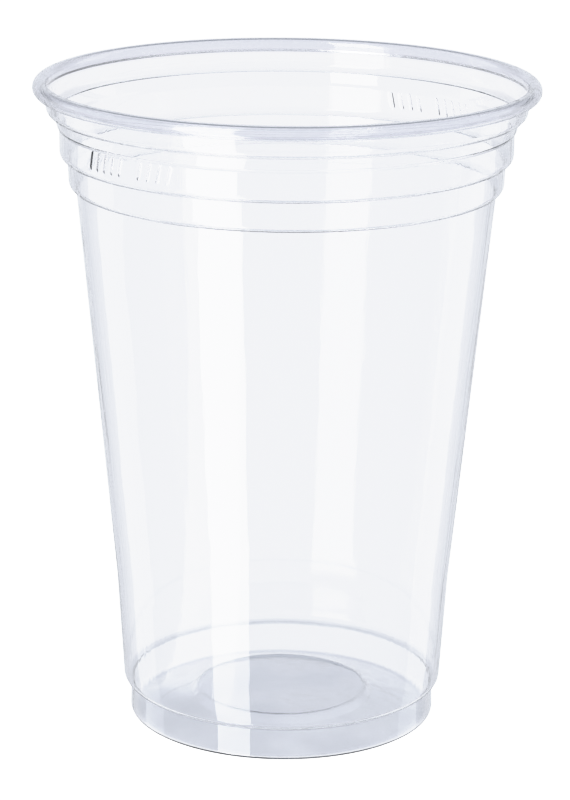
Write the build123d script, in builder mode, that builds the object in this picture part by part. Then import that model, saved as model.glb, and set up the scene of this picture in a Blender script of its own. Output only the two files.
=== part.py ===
from build123d import *
import os

# Clear plastic drinking cup, formed in one piece from one sheet of film, with a rolled rim.
# Millimetres. The cup stands on the plane Z = 0 and its axis is +Z, so the origin is the centre of
# the circle that it rests on. -Y is the front.

# Overall sizes
rim_diameter = 95.0  # over the rolled rim
cup_height = 124.5  # from the surface it stands on to the top of the rim
foot_diameter = 59.2
wall = 0.4  # thickness of the film, the same all over

# Rounding radii are those of the middle of the film, so both of its faces keep a true arc.

# Rolled rim: the edge of the film rolled outward and down into a hollow tube that doesn't quite close
roll_diameter = 2.8
roll_turn = 300.0  # how far the film turns round the tube, in degrees

# Three rings under the rim. Each is a short drum that stands out past what is below it, on a sloping
# shelf with a rounded outer corner. A setback is how far in the next drum lies, on the radius.
upper_ring_height = 6.35  # from the top of the rim down to the ring's crease
upper_ring_setback = 2.5  # from the outside of the rim
neck_height = 2.9  # straight stretch where the upper ring runs into the rolled rim
middle_ring_height = 8.35
middle_ring_setback = 1.5
lower_ring_height = 5.6
lower_ring_setback = 2.43
lower_ring_draft = 0.2  # how much narrower the lower ring is at its own foot
body_setback = 1.35
shelf_rise = 0.5  # slope of each shelf, from its crease to its outer corner
shelf_round = 1.2
crease_round = 0.3

# Lip: the top of the middle ring is a little wider than the rest of it, above a fine step
lip_height = 2.75
lip_flare = 0.5
lip_step = 0.45
lip_step_rise = 0.6
lip_round = 0.3

# Body: it tapers from the rings down to a heel, and less from there to the shoulder
heel_height = 27.7
heel_overhang = 1.31  # past the shoulder, on the radius
heel_round = 40.0

# Foot: a short drum under a rounded shoulder, on whose inside a stacked cup comes to rest
foot_height = 6.3  # up to the crease under the shoulder
foot_draw_in = 0.18  # how much narrower the foot is at that crease
shoulder_overhang = 1.24  # past the foot, on the radius
foot_round = 0.45

# Base: a flat ring that the cup stands on, and inside it a cone that rises to a raised disc
rest_ring_width = 2.1
rest_ring_round = 0.8
disc_diameter = 32.6
disc_height = 4.0
disc_step = 1.3  # how far the disc stands above the top of the cone
disc_step_run = 1.3
disc_round = 1.2

# Marks: short raised strokes on the middle ring, in groups that repeat on the opposite side
stroke_length = 3.4
stroke_width = 0.6
stroke_relief = 0.2
stroke_slant = 12.0
stroke_pitch = 2.8  # angle from one stroke to the next, in degrees
stroke_groups = ((220.2, 5), (236.3, 4))  # middle of each group as an angle from +X, and its strokes
stroke_gap = 0.1  # from the top of the strokes up to the lip

# Middle of the film in each drum, on the radius
half_wall = wall / 2
foot_radius = foot_diameter / 2 - half_wall
upper_ring_radius = rim_diameter / 2 - upper_ring_setback - half_wall
middle_ring_radius = upper_ring_radius - middle_ring_setback
mark_radius = middle_ring_radius - lip_flare - lip_step
lower_ring_radius = middle_ring_radius - lower_ring_setback
lower_ring_foot = lower_ring_radius - lower_ring_draft
body_radius = lower_ring_foot - body_setback

# The crease under each ring, above Z = 0
upper_crease = cup_height - upper_ring_height
middle_crease = upper_crease - middle_ring_height
lower_crease = middle_crease - lower_ring_height

# The rolled tube: the centre of its section, and the radius of the film's middle round it
roll_centre = (rim_diameter / 2 - roll_diameter / 2, cup_height - roll_diameter / 2)
roll_radius = roll_diameter / 2 - half_wall
neck_radius = roll_centre[0] - roll_radius

# The middle of the film in section, from the axis outward and up: each corner as its radius and
# height, and the radius that rounds it
disc_radius = disc_diameter / 2
rest_ring_inside = foot_radius - rest_ring_width
shoulder_radius = foot_radius + shoulder_overhang
lip_bottom = upper_crease - lip_height
stroke_height = lip_bottom - stroke_gap - stroke_length / 2
corners = (
    ((disc_radius, disc_height), disc_round),
    ((disc_radius + disc_step_run, disc_height - disc_step), disc_round),
    ((rest_ring_inside, half_wall), rest_ring_round),
    ((foot_radius, half_wall), foot_round),
    ((foot_radius - foot_draw_in, foot_height), crease_round),
    ((shoulder_radius, foot_height + shelf_rise), shelf_round),
    ((shoulder_radius + heel_overhang, heel_height), heel_round),
    ((body_radius, lower_crease), crease_round),
    ((lower_ring_foot, lower_crease + shelf_rise), shelf_round),
    ((lower_ring_radius, middle_crease), crease_round),
    ((mark_radius, middle_crease + shelf_rise), shelf_round),
    ((mark_radius, lip_bottom), lip_round),
    ((mark_radius + lip_step, lip_bottom + lip_step_rise), lip_round),
    ((middle_ring_radius, upper_crease), crease_round),
    ((upper_ring_radius, upper_crease + shelf_rise), shelf_round),
    ((neck_radius, cup_height - neck_height), shelf_round),
)

# One stroke, with +X out of the film and the origin in its middle
with BuildPart() as stroke:
    with BuildSketch(Plane.YZ):
        SlotOverall(stroke_length, stroke_width, rotation=90 - stroke_slant)
    extrude(amount=half_wall + stroke_relief)

with BuildPart() as cup:
    with BuildSketch(Plane.XZ):
        with BuildLine():
            FilletPolyline(
                (0, disc_height),
                *[place for place, rounding in corners],
                (neck_radius, roll_centre[1]),
                radius=[rounding for place, rounding in corners],
            )
            CenterArc(roll_centre, roll_radius, 180, -roll_turn)
            offset(amount=half_wall)
        make_face()
        split(bisect_by=Plane.YZ)  # drops the round end of the section that lies past the axis
    revolve(axis=Axis.Z)
    with Locations((0, 0, stroke_height)):
        for middle, strokes in stroke_groups:
            for side in (0, 180):
                spread = stroke_pitch * (strokes - 1)
                first = middle + side - spread / 2
                with PolarLocations(mark_radius, strokes, first, spread, endpoint=True):
                    add(stroke.part)
cup.part.label = "cup"

os.makedirs("parts", exist_ok=True)
export_step(cup.part, "parts/cup.step")
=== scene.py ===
import bpy
import numpy as np
from mathutils import Matrix, Vector


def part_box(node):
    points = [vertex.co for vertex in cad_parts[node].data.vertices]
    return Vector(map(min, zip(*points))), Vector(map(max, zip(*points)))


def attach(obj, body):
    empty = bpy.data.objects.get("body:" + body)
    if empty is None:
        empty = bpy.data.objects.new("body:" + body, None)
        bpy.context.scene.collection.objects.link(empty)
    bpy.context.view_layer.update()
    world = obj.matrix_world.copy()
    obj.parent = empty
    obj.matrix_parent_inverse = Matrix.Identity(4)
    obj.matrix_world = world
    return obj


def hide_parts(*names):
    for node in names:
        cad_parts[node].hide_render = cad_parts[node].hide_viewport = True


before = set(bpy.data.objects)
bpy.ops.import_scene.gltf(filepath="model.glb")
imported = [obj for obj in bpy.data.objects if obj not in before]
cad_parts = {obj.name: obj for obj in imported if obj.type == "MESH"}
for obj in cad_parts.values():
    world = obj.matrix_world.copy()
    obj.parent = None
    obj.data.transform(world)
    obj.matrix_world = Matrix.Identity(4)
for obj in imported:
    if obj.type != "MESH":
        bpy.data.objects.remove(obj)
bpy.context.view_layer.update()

# Shapes are worked out in millimetres and put into their meshes in metres.
METRE = 1000.0
low, high = [np.array(corner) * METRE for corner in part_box("cup")]
rim_radius = high[0]
cup_height = high[2]

# The film that the cup is formed from. Every radius below is that of the middle of the film.
wall = 0.4
half_wall = wall / 2

# Base: a cone rises from the ring that the cup stands on to a raised disc
disc_radius = 16.3
disc_height = 4.0
disc_step = 1.3
disc_round = 1.2
rest_ring_width = 2.1
rest_ring_round = 0.8

# Foot, and the shoulder and the heel over it
foot_radius = 29.6 - half_wall
foot_height = 6.3
foot_draw_in = 0.18
foot_round = 0.45
shoulder_radius = foot_radius + 1.24
heel_radius = shoulder_radius + 1.31
heel_height = 27.7
heel_round = 40.0

# Rings under the rim, from the top down: how far in each lies, and how tall it is
upper_setback = 2.5
upper_height = 6.35
middle_setback = 1.5
middle_height = 8.35
lower_setback = 2.43
lower_height = 5.6
lower_draft = 0.2
body_setback = 1.35
shelf_rise = 0.5
shelf_round = 1.2
crease_round = 0.3

# Lip at the top of the middle ring, over a fine step
lip_height = 2.75
lip_flare = 0.5
lip_step = 0.45
lip_step_rise = 0.6
lip_round = 0.3

# Rolled rim
roll_section = 2.8
roll_turn = np.radians(300)
roll_centre = np.array([rim_radius - roll_section / 2, cup_height - roll_section / 2])
roll_radius = roll_section / 2 - half_wall
neck_radius = roll_centre[0] - roll_radius
neck_height = 2.9

# Raised strokes on the middle ring: the middle of each group as an angle from +X, and its strokes
stroke_length = 3.4
stroke_width = 0.6
stroke_relief = 0.2
stroke_slant = np.radians(12)
stroke_pitch = 2.8
stroke_groups = ((220.2, 5), (236.3, 4), (40.2, 5), (56.3, 4))
stroke_gap = 0.1

# The radius of each ring and the height of its crease
upper_ring = rim_radius - upper_setback - half_wall
middle_ring = upper_ring - middle_setback
mark_ring = middle_ring - lip_flare - lip_step
lower_ring = middle_ring - lower_setback
lower_ring_foot = lower_ring - lower_draft
body_top = lower_ring_foot - body_setback
upper_crease = cup_height - upper_height
middle_crease = upper_crease - middle_height
lower_crease = middle_crease - lower_height
lip_bottom = upper_crease - lip_height
stroke_height = lip_bottom - stroke_gap - stroke_length / 2

# Corners of the film's middle, from the axis outward and up: radius, height, and rounding radius
film_corners = np.array([
    (disc_radius, disc_height, disc_round),
    (disc_radius + disc_step, disc_height - disc_step, disc_round),
    (foot_radius - rest_ring_width, half_wall, rest_ring_round),
    (foot_radius, half_wall, foot_round),
    (foot_radius - foot_draw_in, foot_height, crease_round),
    (shoulder_radius, foot_height + shelf_rise, shelf_round),
    (heel_radius, heel_height, heel_round),
    (body_top, lower_crease, crease_round),
    (lower_ring_foot, lower_crease + shelf_rise, shelf_round),
    (lower_ring, middle_crease, crease_round),
    (mark_ring, middle_crease + shelf_rise, shelf_round),
    (mark_ring, lip_bottom, lip_round),
    (mark_ring + lip_step, lip_bottom + lip_step_rise, lip_round),
    (middle_ring, upper_crease, crease_round),
    (upper_ring, upper_crease + shelf_rise, shelf_round),
    (neck_radius, cup_height - neck_height, shelf_round),
])

# How finely the film is cut up: points along a corner and along the roll, the longest step up the marks and
# up the rest, and the angle between columns
corner_points = 5
roll_points = 24
mark_step = 0.25
plain_step = 6.0
column_step = 2.0


def round_corners(start, corners, end, count):
    """A path of straight runs with an arc at each corner, as rows of place, direction and bend.

    At a corner P where the path turns by t from the unit direction a, with n the unit normal of a on the
    side of the turn, the arc of radius R starts at S = P - a R tan(t / 2). At the share s of the turn it
    is at S + R (a sin(s t) + n (1 - cos(s t))), and it points along a cos(s t) + n sin(s t). Its bend is
    sin(pi s), less as R is longer than a shelf's, and a straight run has none.
    """
    places = np.vstack([start, corners[:, :2], end])
    runs = np.diff(places, axis=0)
    runs /= np.linalg.norm(runs, axis=1, keepdims=True)
    into, out = runs[:-1], runs[1:]
    left = into @ np.array([[0, 1], [-1, 0]])
    side = np.sign((left * out).sum(axis=1))
    turn = np.arccos((into * out).sum(axis=1).clip(-1, 1))[:, None, None]
    radius = corners[:, 2][:, None, None]
    a = into[:, None, :]
    n = (left * side[:, None])[:, None, :]
    share = np.linspace(0, 1, count)[None, :, None]
    angle = turn * share
    first = corners[:, None, :2] - a * radius * np.tan(turn / 2)
    arcs = first + radius * (a * np.sin(angle) + n * (1 - np.cos(angle)))
    ways = a * np.cos(angle) + n * np.sin(angle)
    bend = np.sin(np.pi * share) * np.minimum(shelf_round / radius, 1)
    rounded = np.concatenate([arcs, ways, bend], axis=2).reshape(-1, 5)
    return np.vstack([[*start, *runs[0], 0], rounded, [*end, *runs[-1], 0]])


def arc_path(centre, radius, start, turn, count):
    """An arc as rows of place, direction and a bend of 1, clockwise from the angle start through turn."""
    angle = start - np.linspace(0, turn, count)
    outward = np.stack([np.cos(angle), np.sin(angle)], axis=1)
    along = np.stack([np.sin(angle), -np.cos(angle)], axis=1)
    return np.hstack([centre + radius * outward, along, np.ones((count, 1))])


def divide(path, longest):
    """The same path with each run cut into equal pieces no longer than longest, one limit for each run."""
    lengths = np.linalg.norm(np.diff(path[:, :2], axis=0), axis=1)
    pieces = np.maximum(np.ceil(lengths / longest), 1).astype(int)
    run = np.repeat(np.arange(len(pieces)), pieces)
    share = (np.arange(pieces.sum()) - np.repeat(np.cumsum(pieces) - pieces, pieces)) / pieces[run]
    cut = path[run] + (path[run + 1] - path[run]) * share[:, None]
    return np.vstack([cut, path[-1]])


def film_section():
    """The closed outline of the film in section, as radius, height and bend, and the relief each row takes.

    The middle of the film is moved half a wall to its right for the outside face and to its left for the
    inside face. A half circle joins them at the free end of the rolled rim. The outside takes all of the
    strokes' relief, and the inside follows it less sharply.
    """
    wall_path = round_corners((0, disc_height), film_corners, (neck_radius, roll_centre[1]), corner_points)
    roll = arc_path(roll_centre, roll_radius, np.pi, roll_turn, roll_points)[1:]
    path = np.vstack([wall_path, roll])
    heights = (path[:-1, 1] + path[1:, 1]) / 2
    in_marks = (heights > middle_crease + shelf_rise) & (heights < lip_bottom)
    path = divide(path, np.where(in_marks & (path[:-1, 0] < upper_ring), mark_step, plain_step))
    across = path[:, 2:4] @ np.array([[0, -1], [1, 0]])
    outside = path[:, :2] + half_wall * across
    inside = path[:, :2] - half_wall * across
    way, end = path[-1, 2:4], path[-1, :2]
    sweep = np.linspace(0, np.pi, 7)[1:-1, None]
    cap = end + half_wall * (across[-1] * np.cos(sweep) + way * np.sin(sweep))
    bend = np.concatenate([path[:, 4], np.ones(len(cap)), path[::-1, 4]])
    outline = np.column_stack([np.vstack([outside, cap, inside[::-1]]), bend])
    inside_share = 0.6
    relief = np.concatenate([np.ones(len(outside)), np.zeros(len(cap)), np.full(len(inside), inside_share)])
    return outline, relief


def stroke_middles():
    """The angle of each stroke's middle: equal steps either side of its group's middle."""
    return np.concatenate([
        np.radians(middle + stroke_pitch * (np.arange(count) - (count - 1) / 2))
        for middle, count in stroke_groups
    ])


def column_angles(middles):
    """The angles of the columns round the cup: even steps, with close ones across each stroke.

    The close ones lie at set distances either side of a stroke's middle, and the even ones that come
    nearer to a stroke than clear are left out.
    """
    clear = 0.8
    even = np.radians(np.arange(0, 360, column_step))
    across = np.array([-0.5, -0.34, -0.22, -0.11, 0, 0.11, 0.22, 0.34, 0.5])
    close = middles[:, None] + across / mark_ring
    gap = np.abs((even[:, None] - middles[None, :] + np.pi) % (2 * np.pi) - np.pi).min(axis=1)
    return np.sort(np.concatenate([even[gap > clear / mark_ring], close.ravel()]))


def stroke_heights(angles, heights, middles):
    """How far a point is raised, from its angle before the slant and its height.

    d is the distance to the stroke's middle line, which ends half a width short of each end of it. The
    height is the relief times 1 - smoothstep of d from a tenth of the width to three quarters of it.
    """
    across = ((angles[None, :, None] - middles + np.pi) % (2 * np.pi) - np.pi) * mark_ring
    across = np.abs(across).min(axis=2) * np.cos(stroke_slant)
    along = np.abs(heights - stroke_height)[:, None] / np.cos(stroke_slant)
    beyond = np.maximum(along - (stroke_length - stroke_width) / 2, 0)
    distance = np.hypot(across, beyond)
    share = ((distance - 0.1 * stroke_width) / (0.65 * stroke_width)).clip(0, 1)
    return stroke_relief * (1 - share ** 2 * (3 - 2 * share))


def turned_mesh(name, radius, height, angles, slide, bend):
    """A closed surface turned about Z: the point of row i and column j is at the angle a_j + slide_i.

    radius is a grid of rows and columns. The first and last rows lie on the axis, and each is one point.
    The bend of each row is kept on its points, for the material.
    """
    turn = angles[None, :] + slide[:, None]
    heights = np.broadcast_to(height[:, None], turn.shape)
    grid = np.stack([radius * np.cos(turn), radius * np.sin(turn), heights], axis=2)
    rows, columns = len(height) - 2, len(angles)
    poles = np.array([[0, 0, height[0]], [0, 0, height[-1]]])
    points = np.vstack([grid[1:-1].reshape(-1, 3), poles])
    here = np.arange(rows * columns).reshape(rows, columns)
    after = np.roll(here, -1, axis=1)
    quads = np.stack([here[:-1], after[:-1], after[1:], here[1:]], axis=2).reshape(-1, 4)
    first, last = rows * columns, rows * columns + 1
    below = np.stack([np.full(columns, first), after[0], here[0]], axis=1)
    above = np.stack([np.full(columns, last), here[-1], after[-1]], axis=1)
    triangles = np.vstack([below, above])
    mesh = bpy.data.meshes.new(name)
    mesh.from_pydata(points / METRE, [], [*quads.tolist(), *triangles.tolist()])
    mesh.polygons.foreach_set("use_smooth", np.ones(len(mesh.polygons), dtype=bool))
    bends = np.concatenate([np.repeat(bend[1:-1], columns), bend[[0, -1]]])
    mesh.attributes.new("bend", "FLOAT", "POINT").data.foreach_set("value", bends.astype(np.float32))
    mesh.validate()
    piece = bpy.data.objects.new(name, mesh)
    bpy.context.scene.collection.objects.link(piece)
    return piece


def cup_film():
    """The whole cup: the film's section turned about the axis, with the strokes pushed out of it.

    The radius is the section's own plus the strokes' height. The columns lean with the strokes: their
    angle grows by (height - the strokes' middle) tan(slant) / radius, and only as far as the strokes reach.
    """
    outline, relief = film_section()
    middles = stroke_middles()
    angles = column_angles(middles)
    radius = np.repeat(outline[:, :1], len(angles), axis=1)
    on_mark_ring = np.abs(outline[:, 0] - mark_ring) < wall
    raised = stroke_heights(angles, outline[:, 1], middles) * (relief * on_mark_ring)[:, None]
    reach = stroke_length / 2
    slide = (outline[:, 1] - stroke_height).clip(-reach, reach) * np.tan(stroke_slant) / mark_ring
    return turned_mesh("cup_film", radius + raised, outline[:, 1], angles, slide, outline[:, 2])


# Materials

def new_material(name):
    material = bpy.data.materials.new(name)
    material.use_nodes = True
    nodes = material.node_tree.nodes
    nodes.clear()
    return material, nodes, material.node_tree.links


def ranged(nodes, links, value, low, high, to_low=0.0, to_high=1.0):
    """A smooth step of a value: to_low where it is under low, and to_high where it is over high."""
    step = nodes.new("ShaderNodeMapRange")
    step.interpolation_type = "SMOOTHSTEP"
    step.inputs["From Min"].default_value = low
    step.inputs["From Max"].default_value = high
    step.inputs["To Min"].default_value = to_low
    step.inputs["To Max"].default_value = to_high
    links.new(value, step.inputs["Value"])
    return step.outputs["Result"]


def reckon(nodes, links, operation, *values):
    """The result of a maths node; each value is a number or a socket."""
    node = nodes.new("ShaderNodeMath")
    node.operation = operation
    for socket, value in zip(node.inputs, values):
        if isinstance(value, (int, float)):
            socket.default_value = value
        else:
            links.new(value, socket)
    return node.outputs[0]


def blend(nodes, links, share, first, second):
    """A mix of two colours; each is three numbers or a socket."""
    mix = nodes.new("ShaderNodeMix")
    mix.data_type = "RGBA"
    links.new(share, mix.inputs[0])
    for socket, colour in ((mix.inputs[6], first), (mix.inputs[7], second)):
        if isinstance(colour, tuple):
            socket.default_value = (*colour, 1)
        else:
            links.new(colour, socket)
    return mix.outputs[2]


def scaled_place(nodes, links, scale):
    """The point on the object, in metres, times a scale along each axis."""
    place = nodes.new("ShaderNodeTexCoord")
    scaled = nodes.new("ShaderNodeVectorMath")
    scaled.operation = "MULTIPLY"
    scaled.inputs[1].default_value = scale
    links.new(place.outputs["Object"], scaled.inputs[0])
    return scaled.outputs[0]


def clear_film_material():
    """Clear formed plastic. It is see-through and smooth, and a little frosted where the film is bent sharply.
    Its colour carries painted shade: a deeper blue-grey in the rolled rim for the dark room seen in its curl,
    in the base for the shaded floor under the cup, and in a thin band at the foot's crease."""
    material, nodes, links = new_material("clear_film")
    out = nodes.new("ShaderNodeOutputMaterial")
    shader = nodes.new("ShaderNodeBsdfPrincipled")
    split = nodes.new("ShaderNodeSeparateXYZ")
    links.new(scaled_place(nodes, links, (1, 1, 1)), split.inputs[0])
    reach = nodes.new("ShaderNodeVectorMath")
    reach.operation = "LENGTH"
    links.new(scaled_place(nodes, links, (1, 1, 0)), reach.inputs[0])
    bend = nodes.new("ShaderNodeAttribute")
    bend.attribute_name = "bend"

    # Streaks left as the film was drawn down the mould, and cloudiness in the base
    streaks = nodes.new("ShaderNodeTexNoise")
    streaks.inputs["Scale"].default_value = 1.0
    streaks.inputs["Detail"].default_value = 3.0
    links.new(scaled_place(nodes, links, (420, 420, 22)), streaks.inputs["Vector"])
    clouds = nodes.new("ShaderNodeTexNoise")
    clouds.inputs["Scale"].default_value = 1.0
    clouds.inputs["Detail"].default_value = 2.0
    links.new(scaled_place(nodes, links, (70, 70, 70)), clouds.inputs["Vector"])

    rim_shade_mask = ranged(nodes, links, split.outputs["Z"], (cup_height - 3.2) / METRE, (cup_height - 2.4) / METRE)
    radius = reach.outputs["Value"]
    base_edge = (foot_radius - 1.5) / METRE
    disc_edge = (disc_radius - 0.8) / METRE
    crease = foot_height / METRE
    in_base = ranged(nodes, links, radius, base_edge, base_edge + 0.001, 1.0, 0.0)
    in_disc = ranged(nodes, links, radius, disc_edge, disc_edge + 0.002, 1.0, 0.0)
    cloudy = ranged(nodes, links, clouds.outputs["Fac"], 0.35, 0.65)
    # Painted shade: a darker grey band just under and over the crease at the top of the foot.
    above = ranged(nodes, links, split.outputs["Z"], crease - 0.0005, crease - 0.0002)
    under = ranged(nodes, links, split.outputs["Z"], crease, crease + 0.0003, 1.0, 0.0)
    painted_crease_shade = reckon(nodes, links, "MULTIPLY", above, under)

    body = blend(nodes, links, painted_crease_shade, (0.980, 0.985, 0.995), (0.70, 0.72, 0.75))
    # Painted shadow: the cone and the disc of the base are darker, standing in for the shaded floor under the
    # cup. The cloudy noise between two tones is the film's own uneven tone.
    cone = blend(nodes, links, cloudy, (0.70, 0.72, 0.765), (0.78, 0.80, 0.835))
    disc = blend(nodes, links, cloudy, (0.65, 0.67, 0.72), (0.73, 0.745, 0.785))
    base = blend(nodes, links, in_disc, cone, disc)
    tint_with_painted_shade = blend(nodes, links, in_base, body, base)
    # Painted shade: the rolled rim is made a darker blue-grey, standing in for the dark room seen in its curl.
    tint_with_painted_shade = blend(nodes, links, rim_shade_mask, tint_with_painted_shade, (0.90, 0.905, 0.93))
    links.new(tint_with_painted_shade, shader.inputs["Base Color"])

    frost = reckon(nodes, links, "MULTIPLY", bend.outputs["Fac"], 0.05)
    wear = ranged(nodes, links, streaks.outputs["Fac"], 0.3, 0.75, 0.0, 0.05)
    haze = reckon(nodes, links, "MULTIPLY", in_base, reckon(nodes, links, "MULTIPLY", cloudy, 0.10))
    dull = reckon(nodes, links, "ADD", reckon(nodes, links, "ADD", frost, wear), haze)
    links.new(dull, shader.inputs["Roughness"])

    waves = nodes.new("ShaderNodeBump")
    waves.inputs["Strength"].default_value = 0.25
    waves.inputs["Distance"].default_value = 0.0001
    links.new(streaks.outputs["Fac"], waves.inputs["Height"])
    links.new(waves.outputs["Normal"], shader.inputs["Normal"])

    shader.inputs["IOR"].default_value = 1.49
    shader.inputs["Transmission Weight"].default_value = 1.0
    links.new(shader.outputs["BSDF"], out.inputs["Surface"])
    return material


def light_table_material(seen, through, painted_pool, azimuth, half_width):
    """A light table's surface: pure white to the eye, and a little greyer where it is seen through the cup.

    A painted pool of light lies in a narrow sector on both sides of the tall lamp's azimuth, clockwise from
    -Y. The lamp does not light it, and it is not seen directly, only through the cup. It opens from a point
    inside the back of the cup, and begins clear of the cup's foot.
    """
    material, nodes, links = new_material("light_table")
    out = nodes.new("ShaderNodeOutputMaterial")
    path = nodes.new("ShaderNodeLightPath")
    place = nodes.new("ShaderNodeTexCoord")
    split = nodes.new("ShaderNodeSeparateXYZ")
    links.new(place.outputs["Object"], split.inputs[0])
    apex_right = 0.012
    apex_back = 0.033
    across = reckon(nodes, links, "SUBTRACT", split.outputs["X"], apex_right)
    forward = reckon(nodes, links, "SUBTRACT", apex_back, split.outputs["Y"])
    turn = reckon(nodes, links, "ARCTAN2", across, forward)
    off = reckon(nodes, links, "ABSOLUTE", reckon(nodes, links, "SUBTRACT", turn, np.radians(azimuth)))
    edge = np.radians(half_width)
    soft = np.radians(1.0)
    painted_pool_wedge = ranged(nodes, links, off, edge - soft, edge + soft, 1.0, 0.0)
    reach = nodes.new("ShaderNodeVectorMath")
    reach.operation = "LENGTH"
    links.new(place.outputs["Object"], reach.inputs[0])
    clear = ranged(nodes, links, reach.outputs["Value"], 0.042, 0.056)
    # Painted light: a brighter pool on the table, for rays that are not the camera's; the lamp itself casts no
    # such pool.
    lit = blend(nodes, links, reckon(nodes, links, "MULTIPLY", painted_pool_wedge, clear), through, painted_pool)
    glow = nodes.new("ShaderNodeEmission")
    links.new(blend(nodes, links, path.outputs["Is Camera Ray"], lit, seen), glow.inputs["Color"])
    links.new(glow.outputs["Emission"], out.inputs["Surface"])
    return material


def studio_floor():
    """A round pale table that curves up at its far edge, a hair below the foot and not in its plane.

    Its profile runs flat to the inner radius, turns up through a quarter circle, and rises straight to the
    top. It is turned about the axis: (r cos a, r sin a, z) for each point (r, z) of the profile.
    """
    inner, bend, top = 2400.0, 300.0, 650.0
    below_foot = 0.1
    sweep = np.linspace(0, np.pi / 2, 13)[1:]
    curve = np.stack([inner + bend * np.sin(sweep), bend - bend * np.cos(sweep)], axis=1)
    profile = np.vstack([[0, 0], [inner, 0], curve, [inner + bend, top]])
    angles = np.radians(np.arange(0, 360, 3.0))
    radius = profile[:, :1] * np.ones(len(angles))
    turn = angles[None, :]
    height = np.repeat(profile[:, 1:], len(angles), axis=1)
    grid = np.stack([radius * np.cos(turn), radius * np.sin(turn), height], axis=2)
    rows, columns = grid.shape[:2]
    here = np.arange(rows * columns).reshape(rows, columns)
    after = np.roll(here, -1, axis=1)
    quads = np.stack([here[:-1], here[1:], after[1:], after[:-1]], axis=2).reshape(-1, 4)
    mesh = bpy.data.meshes.new("floor")
    mesh.from_pydata((grid.reshape(-1, 3) - np.array([0, 0, below_foot])) / METRE, [], quads.tolist())
    floor = bpy.data.objects.new("floor", mesh)
    bpy.context.scene.collection.objects.link(floor)
    floor.visible_glossy = False
    return floor


def softbox(name, azimuth, width, radiance, inside):
    """A tall lamp a metre away that shows only in reflections, at an azimuth clockwise from -Y.

    inside picks the reflections seen through the film, and otherwise those on the film's own outside.
    """
    height = 2.6
    data = bpy.data.lights.new(name, "AREA")
    data.shape = "RECTANGLE"
    data.size = width
    data.size_y = height
    data.energy = radiance * np.pi * width * height
    lamp = bpy.data.objects.new(name, data)
    a = np.radians(azimuth)
    lamp.location = Vector((np.sin(a), -np.cos(a), 0))
    lamp.rotation_euler = lamp.location.to_track_quat("Z", "Y").to_euler()
    bpy.context.scene.collection.objects.link(lamp)
    lamp.visible_camera = False
    lamp.visible_diffuse = False
    lamp.visible_glossy = not inside
    lamp.visible_transmission = inside
    return lamp


def studio_world(below, above, card, behind):
    """Soft surroundings, one tone below the horizon and another above it, with a pale backdrop behind the
    cup and a dark card on each side of it."""
    world = bpy.data.worlds.new("studio")
    bpy.context.scene.world = world
    world.use_nodes = True
    nodes, links = world.node_tree.nodes, world.node_tree.links
    nodes.clear()
    out = nodes.new("ShaderNodeOutputWorld")
    back = nodes.new("ShaderNodeBackground")
    place = nodes.new("ShaderNodeTexCoord")
    split = nodes.new("ShaderNodeSeparateXYZ")
    links.new(place.outputs["Generated"], split.inputs[0])
    up = ranged(nodes, links, split.outputs["Z"], -0.05, 0.05)
    side = ranged(nodes, links, split.outputs["Y"], 0.45, 0.70)
    rear = ranged(nodes, links, split.outputs["Y"], 0.80, 0.96)
    room = blend(nodes, links, side, blend(nodes, links, up, below, above), card)
    links.new(blend(nodes, links, rear, room, behind), back.inputs["Color"])
    links.new(back.outputs["Background"], out.inputs["Surface"])


def studio_camera():
    """Looks a little down at the cup from the front."""
    data = bpy.data.cameras.new("camera")
    data.lens = 140.63
    data.sensor_width = 36.0
    data.clip_start = 0.01
    camera = bpy.data.objects.new("camera", data)
    distance = 0.57609
    height = 0.2281
    looks_down = 16.075
    turned = -0.0139
    rolled = 0.580
    yaw = Matrix.Rotation(np.radians(turned), 4, "Z")
    tilt = Matrix.Rotation(np.radians(90 - looks_down), 4, "X")
    roll = Matrix.Rotation(np.radians(rolled), 4, "Z")
    camera.matrix_world = Matrix.Translation((0, -distance, height)) @ yaw @ tilt @ roll
    bpy.context.scene.collection.objects.link(camera)
    bpy.context.scene.camera = camera


def soft_highlights():
    """A tone curve that is straight up to about 0.85 and then rolls off, reaching white at 1.6."""
    view = bpy.context.scene.view_settings
    view.use_curve_mapping = True
    curves = view.curve_mapping
    curves.white_level = (1.6, 1.6, 1.6)
    line = curves.curves[3]
    for bright, shown in ((0.4, 0.4), (0.7, 0.7), (0.85, 0.845), (0.95, 0.905), (1.1, 0.945), (1.3, 0.97)):
        line.points.new(bright / 1.6, shown)
    curves.update()


cup = cup_film()
cup.data.materials.append(clear_film_material())
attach(cup, "root")
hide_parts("cup")

floor = studio_floor()
# The table's bright sector is a painted pool of light, not lit by the strip lamp.
table_top = light_table_material(
    seen=(1.7, 1.7, 1.7), through=(0.975, 0.985, 1.025), painted_pool=(3.4, 3.4, 3.4), azimuth=-36.7, half_width=13.2)
floor.data.materials.append(table_top)
studio_world(
    below=(0.50, 0.54, 0.60), above=(0.62, 0.66, 0.73), card=(0.24, 0.265, 0.31), behind=(0.74, 0.77, 0.82))

# Each tall lamp: its azimuth and width, and its strength outside and within the film
tall_lamps = (
    ("strip", -36.7, 0.47, 6.0, 2.2),
    ("left_side", -115, 0.45, 0.8, 0.7),
    ("right_side", 115, 0.45, 0.8, 0.7),
)
for name, azimuth, width, outside, within in tall_lamps:
    softbox(name, azimuth, width, outside, False)
    softbox(name + "_within", azimuth, width, within, True)
studio_camera()
bpy.context.scene.view_settings.view_transform = "Standard"
soft_highlights()

# The film shows several layers of itself, so a path may turn many times before it ends.
paths = bpy.context.scene.cycles
paths.max_bounces = 32
paths.glossy_bounces = 24
paths.transmission_bounces = 32
